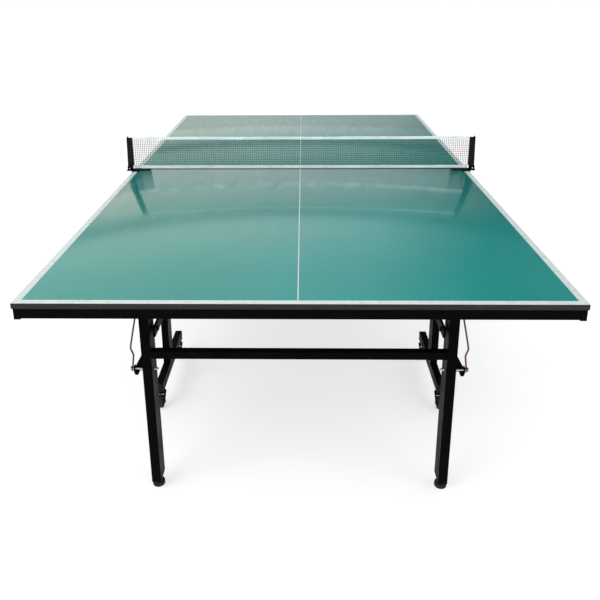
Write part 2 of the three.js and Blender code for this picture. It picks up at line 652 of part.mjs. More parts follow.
// ---------------------------------------------------------------- one half of the table
// Built at the -Y end. The other half is the same, turned half a turn about Z.
function addHalf(end) {
  const half = new THREE.Group();
  const turnedRound = end === 'far';
  half.rotation.z = turnedRound ? Math.PI : 0;
  table.add(half);
  addPiece(half, `${end}_board`, makeBoard(), GREEN_TOP);
  addPiece(half, `${end}_edge_band`, makeEdgeBand(), BLACK_BAND);
  addPiece(half, `${end}_top_frame`, makeTopFrame(), BLACK_STEEL);
  addPiece(half, `${end}_leg_shaft`, makeLegShaft(), ZINC);
  addPiece(half, `${end}_leg_crossbar`, makeLegCrossbar(), BLACK_STEEL);
  addPiece(half, `${end}_base_cross_tube`, makeBaseCrossTube(), BLACK_STEEL);
  for (const side of [-1, 1]) {
    const hand = (side < 0) === turnedRound ? 'right' : 'left';
    addPiece(half, `${end}_leg_${hand}`, makeLeg(side), BLACK_STEEL);
    addPiece(half, `${end}_leg_foot_${hand}`, makeFoot(side), RUBBER);
    addPiece(half, `${end}_link_${hand}`, makeLink(side), BLACK_STEEL);
    addPiece(half, `${end}_release_wire_${hand}`, makeLever(side), RED_WIRE);
    addPiece(half, `${end}_lock_pin_${hand}`, makeLockPin(side), ZINC);
    addPiece(half, `${end}_base_side_${hand}`, makeBaseSide(side), BLACK_STEEL);
    for (const [station, y] of Object.entries(CASTER_STATIONS)) {
      addPiece(half, `${end}_caster_fork_${hand}_${station}`, makeCasterFork(side, y), ZINC);
      addPiece(half, `${end}_wheel_${hand}_${station}`, makeWheel(side, y), RUBBER);
    }
  }
}

// ---------------------------------------------------------------- net set
function makeNetPost(side) {
  const inner = side * POST_INNER_X;
  const outer = side * (POST_INNER_X + POST_WIDTH);
  const crown = NET_TOP + POST_CROWN;
  const outline = [
    [inner, POST_BODY_BOTTOM], [outer, POST_BODY_BOTTOM], [outer - side * POST_TAPER, crown],
    [inner, crown - POST_SLANT],
  ];
  const body = plateY(
    side > 0 ? outline : outline.reverse(), NET_HINGE_Y, NET_HINGE_Y + POST_THICKNESS);
  const tongueIn = POST_INNER_X + TONGUE_INNER_INSET;
  const tongueOut = POST_INNER_X + POST_WIDTH - TONGUE_OUTER_INSET;
  const neck = block(
    span(side, tongueIn, tongueOut),
    [NET_HINGE_Y, NET_HINGE_Y + TONGUE_RADIUS],
    [NET_HINGE_Z, POST_BODY_BOTTOM + OVERCUT]);
  const tongue = barX(
    side * tongueIn, side * tongueOut, NET_HINGE_Y, NET_HINGE_Z, TONGUE_RADIUS);
  const bore = barX(
    side * (tongueIn - OVERCUT), side * (tongueOut + OVERCUT), NET_HINGE_Y, NET_HINGE_Z,
    NET_PIN_RADIUS + RUNNING_GAP);
  return join([body, neck, tongue]).subtract(bore);
}

function makeNetCloth() {
  const end = POST_INNER_X - NET_END_GAP;
  return block(
    [-end, end],
    [NET_Y - NET_THICKNESS / 2, NET_Y + NET_THICKNESS / 2],
    [NET_BOTTOM, NET_TOP - TAPE_HEIGHT - FIT_GAP]);
}

function makeNetTape() {
  const end = POST_INNER_X - NET_END_GAP;
  return block(
    [-end, end],
    [NET_Y - TAPE_THICKNESS / 2, NET_Y + TAPE_THICKNESS / 2],
    [NET_TOP - TAPE_HEIGHT, NET_TOP]);
}

// A C that hooks over the table's edge, with two ears that hold the post's tongue.
function makeNetClamp(side) {
  const ySpan = [CLAMP_OUTER_Y, CLAMP_INNER_Y];
  const plateBottom = TABLE_HEIGHT + FIT_GAP;
  const plateTop = plateBottom + CLAMP_PLATE;
  const webIn = HALF_X + OVERCUT;
  const webOut = webIn + CLAMP_WEB;
  const plate = block(
    span(side, CLAMP_ARM_X, POST_INNER_X + POST_WIDTH),
    [CLAMP_OUTER_Y + CLAMP_SLIM, CLAMP_INNER_Y], [plateBottom, plateTop]);
  const pad = block(
    span(side, webOut - CLAMP_PAD_LENGTH, webOut), ySpan,
    [plateBottom, plateTop + CLAMP_PAD_RISE]);
  const web = block(span(side, webIn, webOut), ySpan, [CLAMP_JAW_BOTTOM, plateTop]);
  const jaw = block(
    span(side, CLAMP_JAW_X, webOut), ySpan, [CLAMP_JAW_BOTTOM, CLAMP_JAW_BOTTOM + CLAMP_WEB]);
  const ear = new THREE.Shape();
  ear.moveTo(NET_HINGE_Y - EAR_OF_CLAMP, plateTop - OVERCUT);
  ear.lineTo(NET_HINGE_Y + EAR_OF_CLAMP / 2, plateTop - OVERCUT);
  ear.lineTo(NET_HINGE_Y + EAR_OF_CLAMP, NET_HINGE_Z);
  ear.absarc(NET_HINGE_Y, NET_HINGE_Z, EAR_OF_CLAMP, 0, Math.PI, false);
  const ears = EAR_OF_CLAMP_INSETS.map((inset) => plateX(
    ear, side * (POST_INNER_X + inset), side * (POST_INNER_X + inset + EAR_OF_CLAMP_PLATE)));
  const pin = barX(
    side * (POST_INNER_X + EAR_OF_CLAMP_INSETS[0]), side * (POST_INNER_X + POST_WIDTH),
    NET_HINGE_Y, NET_HINGE_Z, NET_PIN_RADIUS);
  const screwHole = barZ(
    side * (FRAME_X - FRAME_WIDTH / 2), (CLAMP_OUTER_Y + CLAMP_INNER_Y) / 2,
    CLAMP_JAW_BOTTOM - OVERCUT, CLAMP_JAW_BOTTOM + CLAMP_WEB + OVERCUT,
    CLAMP_SCREW_RADIUS + RUNNING_GAP);
  return join([plate, pad, web, jaw, pin, ...ears]).subtract(screwHole);
}

// A round knob, its screw through the jaw, and the pad that presses up on the frame.
function makeClampScrew(side) {
  const knobTop = KNOB_BOTTOM + KNOB_HEIGHT;
  const padTop = FRAME_BOTTOM - FIT_GAP;
  const padBottom = padTop - SCREW_PAD;
  const geometry = turned([
    [0, KNOB_BOTTOM], [KNOB_RADIUS - KNOB_CHAMFER, KNOB_BOTTOM],
    [KNOB_RADIUS, KNOB_BOTTOM + KNOB_CHAMFER], [KNOB_RADIUS, knobTop - KNOB_CHAMFER],
    [KNOB_RADIUS - KNOB_CHAMFER, knobTop], [CLAMP_SCREW_RADIUS, knobTop],
    [CLAMP_SCREW_RADIUS, padBottom], [SCREW_PAD_RADIUS, padBottom],
    [SCREW_PAD_RADIUS, padTop], [0, padTop],
  ]);
  geometry.translate(
    side * (FRAME_X - FRAME_WIDTH / 2), (CLAMP_OUTER_Y + CLAMP_INNER_Y) / 2, 0);
  return toSolid(geometry);
}

addHalf('near');
addHalf('far');
addPiece(table, 'net_cloth', makeNetCloth(), NET_CORD);
addPiece(table, 'net_top_tape', makeNetTape(), WHITE_TAPE);
for (const [side, hand] of [[-1, 'left'], [1, 'right']]) {
  addPiece(table, `net_post_${hand}`, makeNetPost(side), BLACK_PLASTIC);
  addPiece(table, `net_clamp_${hand}`, makeNetClamp(side), BLACK_STEEL);
  addPiece(table, `clamp_screw_${hand}`, makeClampScrew(side), BLACK_PLASTIC);
}

export default table;
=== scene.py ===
"""The looks of a regulation ping pong table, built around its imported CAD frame."""
import math
import random

import bmesh
import bpy
from mathutils import Matrix, Vector


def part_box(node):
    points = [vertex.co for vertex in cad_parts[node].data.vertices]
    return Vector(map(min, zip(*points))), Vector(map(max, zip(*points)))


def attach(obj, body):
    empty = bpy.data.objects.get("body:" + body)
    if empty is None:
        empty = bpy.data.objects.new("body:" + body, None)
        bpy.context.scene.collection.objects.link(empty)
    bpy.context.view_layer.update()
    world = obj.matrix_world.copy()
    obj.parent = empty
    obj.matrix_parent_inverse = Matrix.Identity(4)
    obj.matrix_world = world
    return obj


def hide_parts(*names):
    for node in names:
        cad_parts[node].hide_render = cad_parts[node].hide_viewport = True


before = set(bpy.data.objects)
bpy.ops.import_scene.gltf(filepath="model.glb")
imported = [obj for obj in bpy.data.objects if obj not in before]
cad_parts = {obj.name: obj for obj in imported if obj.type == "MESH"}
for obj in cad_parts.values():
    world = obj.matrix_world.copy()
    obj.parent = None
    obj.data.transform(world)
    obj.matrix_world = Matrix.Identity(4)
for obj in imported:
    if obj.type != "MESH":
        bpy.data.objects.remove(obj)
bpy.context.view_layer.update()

ENDS = ("near", "far")
SIDES = (-1, 1)

# The camera of the photograph, worked out from the table's regulation size.
CAMERA_AT = Vector((0.015, -2.941, 1.548))
CAMERA_YAW = math.radians(-1.18)
CAMERA_PITCH = math.radians(17.91)
CAMERA_ROLL = math.radians(0.40)
CAMERA_FOCAL = 661.8 / 600
CAMERA_SHIFT = (0.0158, -0.1623)
SENSOR = 36.0

# The studio: its brightness for diffuse light, and for gloss across it and from the horizon up.
SKY = 1.06
LIGHTS_AIM = Vector((0, 0, 0.6))
FLOOR_HALF = 60.0
FLOOR_DROP = 0.0005
ROOM_ACROSS = [(0.0, 0.70), (0.32, 1.02), (0.45, 1.0), (0.575, 0.70), (0.64, 0.30),
               (0.69, 0.06), (0.80, 0.20), (1.0, 0.40)]
ROOM_UPWARD = [(0.0, 0.75), (0.20, 0.78), (0.27, 0.30), (0.295, 0.30), (0.345, 0.95),
               (0.40, 1.0), (0.60, 0.90), (1.0, 0.70)]


# ------------------------------------------------------------------ camera, floor and light
def add_camera():
    data = bpy.data.cameras.new("camera")
    data.sensor_width = SENSOR
    data.lens = CAMERA_FOCAL * SENSOR
    data.shift_x, data.shift_y = CAMERA_SHIFT
    data.clip_start, data.clip_end = 0.05, 60
    camera = bpy.data.objects.new("camera", data)
    turn = (
        Matrix.Rotation(-CAMERA_YAW, 4, "Z")
        @ Matrix.Rotation(math.pi / 2 - CAMERA_PITCH, 4, "X")
        @ Matrix.Rotation(-CAMERA_ROLL, 4, "Z")
    )
    camera.matrix_world = Matrix.Translation(CAMERA_AT) @ turn
    bpy.context.scene.collection.objects.link(camera)
    bpy.context.scene.camera = camera


def add_area_light(name, at, size, power):
    data = bpy.data.lights.new(name, "AREA")
    data.shape = "RECTANGLE"
    data.size, data.size_y = size
    data.energy = power
    light = bpy.data.objects.new(name, data)
    direction = LIGHTS_AIM - Vector(at)
    light.location = at
    light.rotation_euler = direction.to_track_quat("-Z", "Y").to_euler()
    bpy.context.scene.collection.objects.link(light)


def grey_stops(stops):
    return [(position, (value, value, value)) for position, value in stops]


def add_world():
    """A white studio: plain for the camera, even for diffuse light, and for gloss a room that is
    brighter and warmer on the left."""
    world = bpy.data.worlds.new("studio")
    world.use_nodes = True
    bpy.context.scene.world = world
    graph = Graph(world.node_tree)
    graph.tree.nodes.clear()
    split = graph.node("ShaderNodeSeparateXYZ",
                       Vector=graph.node("ShaderNodeTexCoord").outputs["Generated"])
    across = graph.ramp(graph.grey(split.outputs["X"], 0.0, 1.0, -1.0, 1.0), grey_stops(ROOM_ACROSS))
    upward = graph.ramp(split.outputs["Z"], grey_stops(ROOM_UPWARD))
    total = graph.node("ShaderNodeMath")
    total.operation = "MULTIPLY"
    graph.link(across, total.inputs[0])
    graph.link(upward, total.inputs[1])
    warmth = graph.grey(split.outputs["X"], 0.0, 1.0, -0.35, 0.35)
    tint = graph.ramp(warmth, [(0.0, (1.0, 0.94, 0.80)), (0.5, (1.0, 0.99, 0.97)),
                               (1.0, (0.86, 0.96, 1.0))])
    room = graph.node("ShaderNodeBackground", Color=tint, Strength=total.outputs[0])
    even = graph.node("ShaderNodeBackground", Color=(1, 1, 1, 1), Strength=SKY)
    plain = graph.node("ShaderNodeBackground", Color=(1, 1, 1, 1), Strength=1.0)
    path = graph.node("ShaderNodeLightPath")
    gloss = graph.node("ShaderNodeMixShader")
    graph.link(path.outputs["Is Glossy Ray"], gloss.inputs[0])
    graph.link(even.outputs[0], gloss.inputs[1])
    graph.link(room.outputs[0], gloss.inputs[2])
    seen = graph.node("ShaderNodeMixShader")
    graph.link(path.outputs["Is Camera Ray"], seen.inputs[0])
    graph.link(gloss.outputs[0], seen.inputs[1])
    graph.link(plain.outputs[0], seen.inputs[2])
    out = graph.node("ShaderNodeOutputWorld")
    graph.link(seen.outputs[0], out.inputs["Surface"])


def add_floor(material):
    half = FLOOR_HALF
    mesh = bpy.data.meshes.new("floor")
    mesh.from_pydata(
        [(-half, -half, 0), (half, -half, 0), (half, half, 0), (-half, half, 0)], [],
        [(0, 1, 2, 3)])
    mesh.materials.append(material)
    floor = bpy.data.objects.new("floor", mesh)
    floor.location.z = -FLOOR_DROP
    bpy.context.scene.collection.objects.link(floor)


# ------------------------------------------------------------------ materials
class Graph:
    """Short forms for building a node tree."""

    def __init__(self, tree):
        self.tree = tree

    def node(self, kind, **inputs):
        made = self.tree.nodes.new(kind)
        for name, value in inputs.items():
            socket = made.inputs[name]
            if isinstance(value, bpy.types.NodeSocket):
                self.tree.links.new(value, socket)
            else:
                socket.default_value = value
        return made

    def link(self, source, target):
        self.tree.links.new(source, target)

    def noise(self, scale, detail=3.0, roughness=0.55, vector=None):
        made = self.node("ShaderNodeTexNoise", Scale=scale, Detail=detail, Roughness=roughness)
        self.link(vector or self.place(), made.inputs["Vector"])
        return made.outputs["Fac"]

    def place(self):
        for made in self.tree.nodes:
            if made.bl_idname == "ShaderNodeTexCoord":
                return made.outputs["Object"]
        return self.node("ShaderNodeTexCoord").outputs["Object"]

    def stretched(self, scale):
        made = self.node("ShaderNodeMapping", Vector=self.place())
        made.inputs["Scale"].default_value = scale
        return made.outputs["Vector"]

    def ramp(self, factor, stops):
        made = self.node("ShaderNodeValToRGB", Fac=factor)
        elements = made.color_ramp.elements
        while len(elements) < len(stops):
            elements.new(0.5)
        for element, (position, color) in zip(elements, stops):
            element.position = position
            element.color = (*color, 1.0) if len(color) == 3 else color
        return made.outputs["Color"]

    def grey(self, factor, low, high, start=0.3, stop=0.7):
        made = self.node("ShaderNodeMapRange", Value=factor)
        made.inputs["From Min"].default_value = start
        made.inputs["From Max"].default_value = stop
        made.inputs["To Min"].default_value = low
        made.inputs["To Max"].default_value = high
        return made.outputs["Result"]

    def mix(self, kind, first, second):
        """Two colours multiplied or added at full strength."""
        made = self.node("ShaderNodeMix")
        made.data_type = "RGBA"
        made.blend_type = kind
        made.inputs[0].default_value = 1.0
        self.link(first, made.inputs[6])
        self.link(second, made.inputs[7])
        return made.outputs[2]

    def bump(self, height, strength, distance, under=None):
        made = self.node("ShaderNodeBump", Height=height, Strength=strength)
        made.inputs["Distance"].default_value = distance
        if under is not None:
            self.link(under, made.inputs["Normal"])
        return made.outputs["Normal"]


def new_material(name, **uniform):
    material = bpy.data.materials.new(name)
    material.use_nodes = True
    graph = Graph(material.node_tree)
    shader = material.node_tree.nodes["Principled BSDF"]
    for socket, value in uniform.items():
        shader.inputs[socket.replace("_", " ")].default_value = value
    return material, graph, shader


def lacquer_green():
    """Glossy teal playing surface: faint orange peel, soft cloudiness and fine scuffs."""
    material, graph, shader = new_material(
        "lacquer_green", Coat_Weight=0.35, Coat_Roughness=0.05, Coat_IOR=1.5,
        Specular_IOR_Level=0.6)
    cloud = graph.noise(1.6, 4.0)
    speck = graph.noise(900.0, 2.0)
    base = graph.ramp(cloud, [(0.3, (0.010, 0.200, 0.178)), (0.7, (0.014, 0.232, 0.212))])
    fine = graph.ramp(speck, [(0.35, (0.90, 0.92, 0.92)), (0.7, (1.06, 1.05, 1.05))])
    graph.link(graph.mix("MULTIPLY", base, fine), shader.inputs["Base Color"])
    scuff = graph.noise(26.0, 6.0, 0.7, graph.stretched((1.0, 0.25, 1.0)))
    graph.link(graph.grey(scuff, 0.10, 0.24), shader.inputs["Roughness"])
    peel = graph.noise(160.0, 2.0)
    graph.link(graph.bump(peel, 0.05, 0.0004), shader.inputs["Normal"])
    return material


def painted_line():
    material, graph, shader = new_material(
        "painted_line", Coat_Weight=0.1, Coat_Roughness=0.15,
        Specular_IOR_Level=0.3)
    wear = graph.noise(60.0, 5.0, 0.65)
    color = graph.ramp(wear, [(0.25, (0.42, 0.48, 0.48)), (0.6, (0.52, 0.58, 0.58))])
    graph.link(color, shader.inputs["Base Color"])
    graph.link(graph.grey(wear, 0.22, 0.4), shader.inputs["Roughness"])
    grit = graph.noise(700.0, 2.0)
    graph.link(graph.bump(grit, 0.08, 0.0002), shader.inputs["Normal"])
    return material


def board_underside():
    """Sealed chipboard: fine flakes in a dark green sealer."""
    material, graph, shader = new_material("board_underside")
    flakes = graph.node("ShaderNodeTexVoronoi", Scale=260.0)
    graph.link(graph.stretched((1.0, 0.45, 1.0)), flakes.inputs["Vector"])
    color = graph.ramp(
        flakes.outputs["Distance"],
        [(0.0, (0.010, 0.040, 0.034)), (0.5, (0.020, 0.062, 0.052)), (1.0, (0.034, 0.080, 0.066))])
    graph.link(color, shader.inputs["Base Color"])
    graph.link(graph.grey(graph.noise(40.0), 0.5, 0.7), shader.inputs["Roughness"])
    graph.link(
        graph.bump(flakes.outputs["Distance"], 0.2, 0.0003), shader.inputs["Normal"])
    return material


def gloss_band():
    """Black PVC edge band: glossy, a little wavy along its length, with dusty streaks."""
    material, graph, shader = new_material(
        "gloss_band", Coat_Weight=0.1, Coat_Roughness=0.12, Specular_IOR_Level=0.2)
    streak = graph.noise(14.0, 5.0, 0.6, graph.stretched((1.0, 1.0, 16.0)))
    color = graph.ramp(streak, [(0.35, (0.004, 0.004, 0.005)), (0.75, (0.020, 0.018, 0.017))])
    graph.link(color, shader.inputs["Base Color"])
    graph.link(graph.grey(streak, 0.16, 0.4), shader.inputs["Roughness"])
    wave = graph.noise(34.0, 2.0)
    graph.link(graph.bump(wave, 0.25, 0.0012), shader.inputs["Normal"])
    return material


def powder_coat():
    """Black powder coat: fine pebble texture, dust in patches and small rubbed spots."""
    material, graph, shader = new_material("powder_coat", Specular_IOR_Level=0.02)
    dust = graph.noise(9.0, 6.0, 0.65)
    base = graph.ramp(
        dust, [(0.3, (0.0009, 0.0010, 0.0007)), (0.62, (0.0020, 0.0022, 0.0016)),
               (0.85, (0.0045, 0.0043, 0.0036))])
    rub = graph.ramp(
        graph.noise(70.0, 6.0, 0.7, graph.stretched((1.0, 1.0, 0.35))),
        [(0.66, (0, 0, 0)), (0.78, (0.005, 0.0049, 0.0045))])
    graph.link(graph.mix("ADD", base, rub), shader.inputs["Base Color"])
    graph.link(graph.grey(dust, 0.34, 0.55), shader.inputs["Roughness"])
    pebble = graph.noise(1400.0, 2.0)
    wide = graph.noise(220.0, 2.0)
    graph.link(
        graph.bump(wide, 0.12, 0.0004, graph.bump(pebble, 0.35, 0.00018)),
        shader.inputs["Normal"])
    return material


def zinc_plate():
    """Bright zinc with a faint yellow-grey bloom and machining lines."""
    material, graph, shader = new_material("zinc_plate", Metallic=1.0)
    bloom = graph.noise(120.0, 4.0)
    color = graph.ramp(bloom, [(0.3, (0.40, 0.41, 0.39)), (0.7, (0.62, 0.62, 0.58))])
    graph.link(color, shader.inputs["Base Color"])
    graph.link(graph.grey(bloom, 0.26, 0.44), shader.inputs["Roughness"])
    lines = graph.noise(1600.0, 2.0, 0.5, graph.stretched((0.2, 0.2, 1.0)))
    graph.link(graph.bump(lines, 0.2, 0.0001), shader.inputs["Normal"])
    return material


def crimson_wire():
    material, graph, shader = new_material("crimson_wire", Coat_Weight=0.4, Coat_Roughness=0.15)
    fade = graph.noise(45.0, 4.0)
    color = graph.ramp(fade, [(0.3, (0.035, 0.002, 0.007)), (0.7, (0.13, 0.004, 0.018))])
    graph.link(color, shader.inputs["Base Color"])
    graph.link(graph.grey(fade, 0.25, 0.42), shader.inputs["Roughness"])
    graph.link(graph.bump(graph.noise(900.0), 0.1, 0.0002), shader.inputs["Normal"])
    return material


def moulded(name, dark, light, rough, grain):
    """Moulded plastic or rubber: two near shades, matt patches and a fine grain."""
    material, graph, shader = new_material(name, Specular_IOR_Level=0.12)
    patch = graph.noise(30.0, 5.0, 0.6)
    graph.link(graph.ramp(patch, [(0.3, dark), (0.75, light)]), shader.inputs["Base Color"])
    graph.link(graph.grey(patch, *rough), shader.inputs["Roughness"])
    graph.link(graph.bump(graph.noise(grain, 2.0), 0.3, 0.0002), shader.inputs["Normal"])
    return material


def woven(name, dark, light, pitch, sheen):
    """Cloth of crossed threads, pitch threads to the metre."""
    material, graph, shader = new_material(name, Sheen_Weight=sheen, Sheen_Roughness=0.5)
    waves = []
    for axis in ("X", "Z"):
        wave = graph.node("ShaderNodeTexWave", Scale=pitch, Distortion=0.6, Detail=1.0)
        wave.bands_direction = axis
        graph.link(graph.place(), wave.inputs["Vector"])
        waves.append(wave.outputs["Fac"])
    weave = graph.node("ShaderNodeMath")
    weave.operation = "MULTIPLY"
    graph.link(waves[0], weave.inputs[0])
    graph.link(waves[1], weave.inputs[1])
    soil = graph.noise(18.0, 4.0)
    shade = graph.node("ShaderNodeMath")
    shade.operation = "MULTIPLY_ADD"
    shade.inputs[1].default_value = 0.35
    graph.link(weave.outputs[0], shade.inputs[0])
    graph.link(soil, shade.inputs[2])
    color = graph.ramp(shade.outputs[0], [(0.35, dark), (0.85, light)])
    graph.link(color, shader.inputs["Base Color"])
    graph.link(graph.grey(soil, 0.7, 0.9), shader.inputs["Roughness"])
    graph.link(graph.bump(weave.outputs[0], 0.4, 0.0003), shader.inputs["Normal"])
    return material


def floor_material():
    """Backlit studio paper, so the shadow under the table stays faint."""
    material, graph, shader = new_material(
        "floor_pale", Specular_IOR_Level=0.2, Emission_Color=(1, 1, 1, 1), Emission_Strength=0.6)
    color = graph.ramp(graph.noise(3.0), [(0.3, (0.44, 0.44, 0.44)), (0.7, (0.47, 0.47, 0.47))])
    graph.link(color, shader.inputs["Base Color"])
    shader.inputs["Roughness"].default_value = 0.8
    return material


# ------------------------------------------------------------------ building meshes
def middle(node):
    low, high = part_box(node)
    return (low + high) / 2


def finished(name, bm, material, body, smooth_below=35.0):
    """Turns a bmesh into a piece that rides on a body and takes the given material."""
    mesh = bpy.data.meshes.new(name)
    bm.normal_update()
    for edge in bm.edges:
        if len(edge.link_faces) == 2:
            edge.smooth = edge.calc_face_angle(0.0) < math.radians(smooth_below)
    for face in bm.faces:
        face.smooth = True
    bm.to_mesh(mesh)
    bm.free()
    mesh.materials.append(material)
    piece = bpy.data.objects.new(name, mesh)
    bpy.context.scene.collection.objects.link(piece)
    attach(piece, body)
    return piece


def add_block(bm, low, high, bevel=0.0, segments=2):
    """A block between two corners, its edges rounded by bevel."""
    made = bmesh.ops.create_cube(bm, size=1.0)["verts"]
    low, high = Vector(low), Vector(high)
    for vert in made:
        for axis in range(3):
            vert.co[axis] = low[axis] if vert.co[axis] < 0 else high[axis]
    if bevel > 0:
        edges = list({edge for vert in made for edge in vert.link_edges})
        bmesh.ops.bevel(bm, geom=edges, offset=bevel, segments=segments, profile=0.5,
                        affect="EDGES", clamp_overlap=True)


def add_turned(bm, outline, at, axis, segments=32):
    """A turned solid: outline is (radius, distance along the axis), from one end to the other."""
    axis = Vector(axis).normalized()
    turn = Vector((0, 0, 1)).rotation_difference(axis).to_matrix()
    rings = []
    for radius, along in outline:
        if radius < 1e-7:
            rings.append([bm.verts.new(Vector(at) + turn @ Vector((0, 0, along)))])
            continue
        ring = []
        for step in range(segments):
            angle = math.tau * step / segments
            spot = Vector((radius * math.cos(angle), radius * math.sin(angle), along))
            ring.append(bm.verts.new(Vector(at) + turn @ spot))
        rings.append(ring)
    for before, after in zip(rings, rings[1:]):
        for step in range(segments):
            following = (step + 1) % segments
            corners = [before[step % len(before)], before[following % len(before)],
                       after[following % len(after)], after[step % len(after)]]
            corners = list(dict.fromkeys(corners))
            if len(corners) > 2:
                bm.faces.new(corners)
    for ring in (rings[0], rings[-1]):
        if len(ring) > 1:
            bm.faces.new(ring if ring is rings[-1] else ring[::-1])


def add_tube(bm, points, radius, sides=8, closed=False):
    """A round rod along points, kept untwisted from one point to the next."""
    points = [Vector(point) for point in points]
    count = len(points)
    normal = None
    rings = []
    for index, point in enumerate(points):
        if closed:
            along = points[(index + 1) % count] - points[index - 1]
        else:
            along = points[min(index + 1, count - 1)] - points[max(index - 1, 0)]
        along.normalize()
        if normal is None:
            normal = along.orthogonal().normalized()
        normal = (normal - along * normal.dot(along)).normalized()
        side = along.cross(normal)
        ring = []
        for step in range(sides):
            angle = math.tau * step / sides
            spot = point + radius * (math.cos(angle) * normal + math.sin(angle) * side)
            ring.append(bm.verts.new(spot))
        rings.append(ring)
    pairs = list(zip(rings, rings[1:]))
    if closed:
        pairs.append((rings[-1], rings[0]))
    for before, after in pairs:
        for step in range(sides):
            following = (step + 1) % sides
            bm.faces.new((before[step], before[following], after[following], after[step]))
    if not closed:
        bm.faces.new(rings[0][::-1])
        bm.faces.new(rings[-1])


def add_plate(bm, outline, axis, start, stop, bevel=0.0):
    """A flat plate: outline is a list of the two other coordinates, swept along axis."""
    others = [index for index in range(3) if index != axis]
    faces = []
    for level in (start, stop):
        ring = []
        for pair in outline:
            spot = [0.0, 0.0, 0.0]
            spot[axis] = level
            spot[others[0]], spot[others[1]] = pair
            ring.append(bm.verts.new(spot))
        faces.append(ring)
    made = [bm.faces.new(faces[0]), bm.faces.new(faces[1][::-1])]
    for step in range(len(outline)):
        following = (step + 1) % len(outline)
        made.append(bm.faces.new(
            (faces[0][following], faces[0][step], faces[1][step], faces[1][following])))
    bmesh.ops.recalc_face_normals(bm, faces=made)
    if bevel > 0:
        edges = [edge for edge in made[0].edges] + [edge for edge in made[1].edges]
        bmesh.ops.bevel(bm, geom=edges, offset=bevel, segments=2, profile=0.5,
                        affect="EDGES", clamp_overlap=True)


def smooth_path(points, per_span=8):
    """Points along a Catmull-Rom curve through the given ones."""
    points = [Vector(point) for point in points]
    ends = [2 * points[0] - points[1]] + points + [2 * points[-1] - points[-2]]
    found = []
    for index in range(1, len(ends) - 2):
        before, here, there, after = ends[index - 1:index + 3]
        for step in range(per_span):
            t = step / per_span
            found.append(0.5 * (
                2 * here + (there - before) * t
                + (2 * before - 5 * here + 4 * there - after) * t * t
                + (3 * here - before - 3 * there + after) * t ** 3))
    found.append(points[-1])
    return found


def hexagon(radius):
    return [(radius * math.cos(math.tau * k / 6), radius * math.sin(math.tau * k / 6))
            for k in range(6)]


# ------------------------------------------------------------------ the CAD frame's own pieces
def dress(node, material, bevel=0.0012):
    """Gives a CAD node its finish: facets of a curve shaded smooth, corners slightly rounded."""
    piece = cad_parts[node]
    mesh = piece.data
    mesh.materials.clear()
    mesh.materials.append(material)
    if mesh.has_custom_normals:
        with bpy.context.temp_override(object=piece, active_object=piece):
            bpy.ops.mesh.customdata_custom_splitnormals_clear()
    mesh.shade_smooth()
    weld = piece.modifiers.new("weld", "WELD")
    weld.merge_threshold = 0.00002
    planar = piece.modifiers.new("planar", "DECIMATE")
    planar.decimate_type = "DISSOLVE"
    planar.angle_limit = math.radians(1.0)
    rounded = piece.modifiers.new("rounded", "BEVEL")
    rounded.width = bevel
    rounded.segments = 2
    rounded.limit_method = "ANGLE"
    rounded.angle_limit = math.radians(40)
    rounded.harden_normals = True
    rounded.use_clamp_overlap = True


# ------------------------------------------------------------------ boards and lines
LINE_PROUD = 0.00015
SIDE_LINE = 0.020
CENTRE_LINE = 0.003
LINE_OVER_BAND = 0.0010


def make_board(end, lacquer, underside):
    low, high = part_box(f"{end}_board")
    bm = bmesh.new()
    add_block(bm, low, high, bevel=0.0008)
    piece = finished(f"{end}_table_top", bm, lacquer, f"{end}_top")
    piece.data.materials.append(underside)
    for face in piece.data.polygons:
        if face.normal.z < 0.5:
            face.material_index = 1
    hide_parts(f"{end}_board")


def make_lines(end, paint):
    """The white border on three sides of a half and the thin centre line along it."""
    low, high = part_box(f"{end}_board")
    outer_y, net_y = (low.y, high.y) if end == "near" else (high.y, low.y)
    inward = 1 if net_y > outer_y else -1
    inner_y = outer_y + inward * SIDE_LINE
    left_x, right_x = low.x - LINE_OVER_BAND, high.x + LINE_OVER_BAND
    end_y = outer_y - inward * LINE_OVER_BAND
    strips = [
        ((left_x, end_y), (right_x, inner_y)),
        ((left_x, inner_y), (low.x + SIDE_LINE, net_y)),
        ((high.x - SIDE_LINE, inner_y), (right_x, net_y)),
        ((-CENTRE_LINE / 2, inner_y), (CENTRE_LINE / 2, net_y))]
    bm = bmesh.new()
    for (x0, y0), (x1, y1) in strips:
        add_block(bm, (x0, min(y0, y1), high.z - LINE_PROUD),
                  (x1, max(y0, y1), high.z + LINE_PROUD))
    finished(f"{end}_lines", bm, paint, f"{end}_top")


# ------------------------------------------------------------------ net, tapes and posts
CORD_PITCH = 0.0085
CORD_RADIUS = 0.0009
CORD_CROSSING = 0.0003
POCKET = 0.013
TAPE_CLOTH = 0.0006
TOP_TAPE_THICK = 0.0030
FOOT_TAPE_THICK = 0.0018
STITCH_PITCH = 0.0048
STITCH_LENGTH = 0.0032
STITCH_RADIUS = 0.00022


def ripple(x, z):
    """How far the stretched net waves out of its plane, in metres."""
    return 0.0003 * math.sin(x * 21.0 + z * 30.0) + 0.0001 * math.sin(x * 67.0 + 1.3)


def sag(x, half):
    """How far the top edge hangs between the posts."""
    return 0.0016 * (1 - (x / half) ** 2) + 0.0003 * math.sin(x * 17.0)


